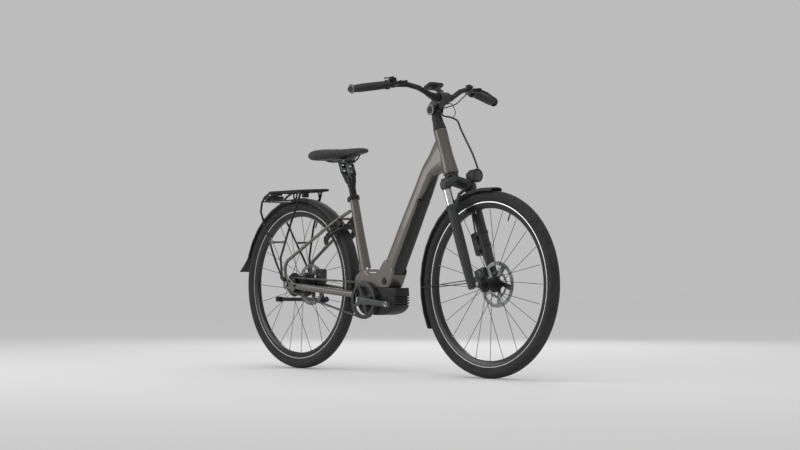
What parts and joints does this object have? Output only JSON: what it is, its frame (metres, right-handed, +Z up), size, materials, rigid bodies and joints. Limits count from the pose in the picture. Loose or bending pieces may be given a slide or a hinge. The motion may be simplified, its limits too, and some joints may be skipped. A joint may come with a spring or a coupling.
{
  "type": "electric city bicycle",
  "caption": "Low-step electric city bicycle with a motor at the cranks, battery in the down tube, suspension fork, sprung seatpost, mudguards, rear rack, kickstand and frame lock.",
  "frame": {"origin": "on the ground below the middle of the bicycle's overall length, in its lengthwise middle plane, with the fork straight ahead", "axes": "+X forward along the bicycle, +Y to the rider's left, +Z up"},
  "size_m": [1.9347, 0.784, 1.1748],
  "materials": {
    "taupe_paint": "satin metallic taupe",
    "black_metal": "black anodised",
    "black_plastic": "fine matt grain",
    "dark_alloy": "dark grey anodised",
    "bright_alloy": "bare satin",
    "steel": "ground",
    "tyre_rubber": "moulded tread",
    "rubber": "matt",
    "saddle_foam": "fine grained cover",
    "red_lens": "clear gloss",
    "grey_paint": "satin grey"
  },
  "bodies": {
    "frame": {"main_frame": "taupe_paint", "motor_unit": "black_metal", "motor_cover": "black_plastic", "rear_triangle": "taupe_paint", "seat_clamp": "bright_alloy", "chain": "steel", "rear_mudguard": "black_metal", "mudflap": "rubber", "rear_rack": "black_metal", "tail_light": "red_lens", "ring_lock": "black_plastic", "rear_caliper": "black_metal", "kickstand_bracket": "black_metal", "rear_axle": "steel"},
    "battery": {"battery_pack": "black_plastic", "battery_cover": "black_plastic"},
    "port_cap": {"charge_cap": "black_plastic"},
    "fork_upper": {"fork_crown": "black_metal", "cable_cover": "black_plastic", "stem_base": "black_metal", "hose_upper": "rubber"},
    "fork_lower": {"fork_lowers": "black_metal", "front_caliper": "black_metal", "front_mudguard": "black_metal", "abs_unit": "black_plastic", "front_axle": "steel", "headlight": "black_plastic", "hose_lower": "rubber"},
    "front_wheel": {"front_tyre": "tyre_rubber", "front_rim": "black_metal", "front_hub": "black_metal", "front_rotor": "steel"},
    "rear_wheel": {"rear_tyre": "tyre_rubber", "rear_rim": "black_metal", "rear_hub": "black_metal", "rear_rotor": "steel"},
    "sprocket": {"rear_sprocket": "steel"},
    "crankset": {"chainring": "black_metal", "crank_spindle": "steel", "crank_left": "dark_alloy", "crank_right": "dark_alloy"},
    "cockpit": {"stem_arm": "black_metal", "handlebar": "black_metal", "grip_left": "rubber", "grip_right": "rubber", "brake_bracket_left": "black_metal", "brake_bracket_right": "black_metal", "display": "black_plastic"},
    "lever_left": {"brake_lever_left": "grey_paint"},
    "lever_right": {"brake_lever_right": "grey_paint"},
    "shifter": {"shift_lever": "grey_paint"},
    "assist_button": {"remote_button": "grey_paint"},
    "stand": {"kickstand_leg": "black_metal"},
    "shackle": {"lock_shackle": "steel"},
    "post": {"seatpost": "black_metal"},
    "link_front": {"seatpost_link_front": "dark_alloy"},
    "link_rear": {"seatpost_link_rear": "dark_alloy"},
    "saddle": {"saddle_clamp": "bright_alloy", "saddle_base": "black_plastic", "saddle_pad": "saddle_foam"}
  },
  "joints": [
    {"name": "steering", "type": "hinge", "parent": "frame", "child": "fork_upper", "pos_m": [0.55528, 0, 0.34153], "axis": [-0.342, 0, 0.9397], "range_deg": [-60, 60]},
    {"name": "fork_travel", "type": "slide", "parent": "fork_upper", "child": "fork_lower", "axis": [-0.342, 0, 0.9397], "range_m": [0, 0.05], "stiffness_N_per_m": 9000, "springref_m": -0.04, "deforming": ["hose_lower"]},
    {"name": "front_wheel_spin", "type": "hinge", "parent": "fork_lower", "child": "front_wheel", "pos_m": [0.60602, 0, 0.36], "axis": [0, 1, 0], "continuous": true},
    {"name": "rear_wheel_spin", "type": "hinge", "parent": "frame", "child": "rear_wheel", "pos_m": [-0.56198, 0, 0.36], "axis": [0, 1, 0], "continuous": true},
    {"name": "crank_spin", "type": "hinge", "parent": "frame", "child": "crankset", "pos_m": [-0.07698, 0, 0.295], "axis": [0, 1, 0], "continuous": true},
    {"name": "sprocket_spin", "type": "hinge", "parent": "frame", "child": "sprocket", "pos_m": [-0.56198, 0, 0.36], "axis": [0, 1, 0], "continuous": true},
    {"name": "brake_left", "type": "hinge", "parent": "cockpit", "child": "lever_left", "pos_m": [0.32981, 0.21362, 1.14515], "axis": [-0.0309, 0.1543, 0.9875], "range_deg": [0, 18], "stiffness_Nm_per_rad": 1.2, "springref_deg": -17.19},
    {"name": "brake_right", "type": "hinge", "parent": "cockpit", "child": "lever_right", "pos_m": [0.32981, -0.21362, 1.14515], "axis": [0.0309, 0.1543, -0.9875], "range_deg": [0, 18], "stiffness_Nm_per_rad": 1.2, "springref_deg": -17.19},
    {"name": "shift", "type": "hinge", "parent": "cockpit", "child": "shifter", "pos_m": [0.27665, -0.20917, 1.17051], "axis": [-0.0309, -0.1543, 0.9875], "range_deg": [-25, 25], "stiffness_Nm_per_rad": 0.3},
    {"name": "assist_press", "type": "slide", "parent": "cockpit", "child": "assist_button", "axis": [0.0309, -0.1543, -0.9875], "range_m": [0, 0.0012], "stiffness_N_per_m": 800, "springref_m": -0.001},
    {"name": "stem_tilt", "type": "hinge", "parent": "fork_upper", "child": "cockpit", "pos_m": [0.29603, 0, 1.05382], "axis": [0, 1, 0], "range_deg": [-10, 15]},
    {"name": "kickstand", "type": "hinge", "parent": "frame", "child": "stand", "pos_m": [-0.51798, 0.093, 0.292], "axis": [0, -0.9578, -0.2874], "range_deg": [0, 114]},
    {"name": "seat_height", "type": "slide", "parent": "frame", "child": "post", "axis": [-0.2504, 0, 0.9681], "range_m": [-0.03, 0.07]},
    {"name": "post_suspension", "type": "hinge", "parent": "post", "child": "link_front", "pos_m": [-0.21598, 0, 0.822], "axis": [0, -1, 0], "range_deg": [0, 36], "stiffness_Nm_per_rad": 55, "springref_deg": -14.32},
    {"name": "rear_link", "type": "hinge", "parent": "post", "child": "link_rear", "pos_m": [-0.26598, 0, 0.831], "axis": [0, -1, 0], "range_deg": [0, 36]},
    {"name": "saddle_level", "type": "hinge", "parent": "link_front", "child": "saddle", "pos_m": [-0.23298, 0, 0.863], "axis": [0, -1, 0], "range_deg": [-36, 0]},
    {"name": "lock_close", "type": "hinge", "parent": "frame", "child": "shackle", "pos_m": [-0.29621, 0, 0.56394], "axis": [0.6088, 0, -0.7934], "range_deg": [0, 97]},
    {"name": "battery_swing", "type": "hinge", "parent": "frame", "child": "battery", "pos_m": [0.08197, 0, 0.39969], "axis": [0, 1, 0], "range_deg": [0, 12]},
    {"name": "port_cap_open", "type": "hinge", "parent": "frame", "child": "port_cap", "pos_m": [0.03402, -0.0418, 0.388], "axis": [-1, 0, 0], "range_deg": [0, 120]}
  ],
  "couplings": [
    {"joint": "sprocket_spin", "follows": "crank_spin", "ratio": 2.4},
    {"joint": "rear_link", "follows": "post_suspension", "ratio": 1},
    {"joint": "saddle_level", "follows": "post_suspension", "ratio": -1}
  ]
}
